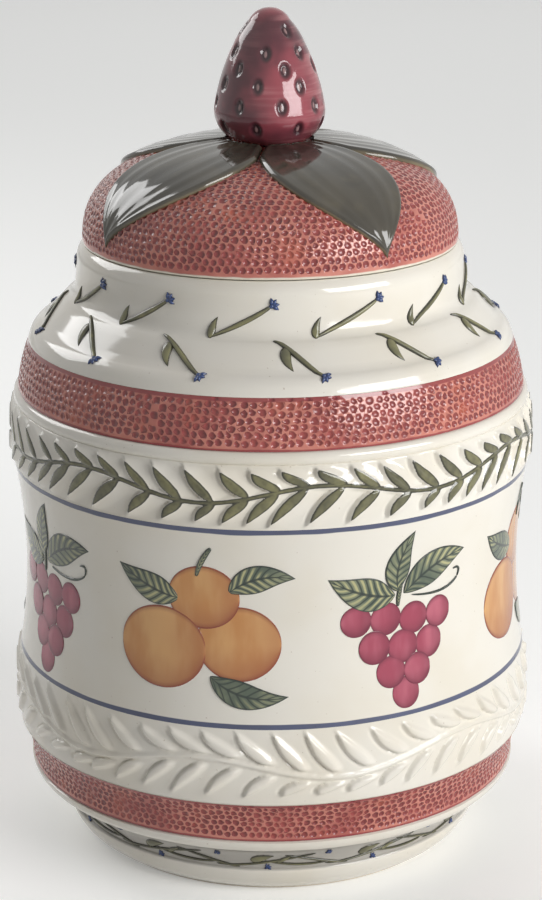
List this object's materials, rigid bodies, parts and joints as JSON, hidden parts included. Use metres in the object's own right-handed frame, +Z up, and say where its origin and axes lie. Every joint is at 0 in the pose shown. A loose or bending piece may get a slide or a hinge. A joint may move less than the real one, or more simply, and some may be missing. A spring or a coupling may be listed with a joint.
{
  "type": "kitchen canister",
  "caption": "Round earthenware kitchen canister with a waisted, banded body, a short neck and a domed lift-off lid whose knob is a strawberry among leaves.",
  "frame": {"origin": "middle of the foot ring's underside, where the canister stands", "axes": "+Z up along the axis of the jar and its lid; -Y is the front that the picture shows"},
  "size_m": [0.174, 0.174, 0.28],
  "materials": {
    "cream_glaze": "glossy cream glaze over white earthenware, bare clay on the foot ring",
    "red_glaze": "glossy brick-red glaze, darker in the dimples and paler on the net between them",
    "berry_glaze": "glossy plum-red glaze with brushed streaks",
    "leaf_glaze": "glossy dark olive-grey glaze",
    "seal_silicone": "soft milky silicone, matt"
  },
  "bodies": {
    "jar": {"jar_body": "cream_glaze"},
    "lid": {"lid": "red_glaze", "seal_ring": "seal_silicone", "strawberry_knob": "berry_glaze", "leaf_front_right": "leaf_glaze", "leaf_back_right": "leaf_glaze", "leaf_back": "leaf_glaze", "leaf_back_left": "leaf_glaze", "leaf_front_left": "leaf_glaze"}
  },
  "joints": [
    {"name": "lid_lift", "type": "slide", "parent": "jar", "child": "lid", "axis": [0, 0, 1], "range_m": [0, 0.06]}
  ]
}
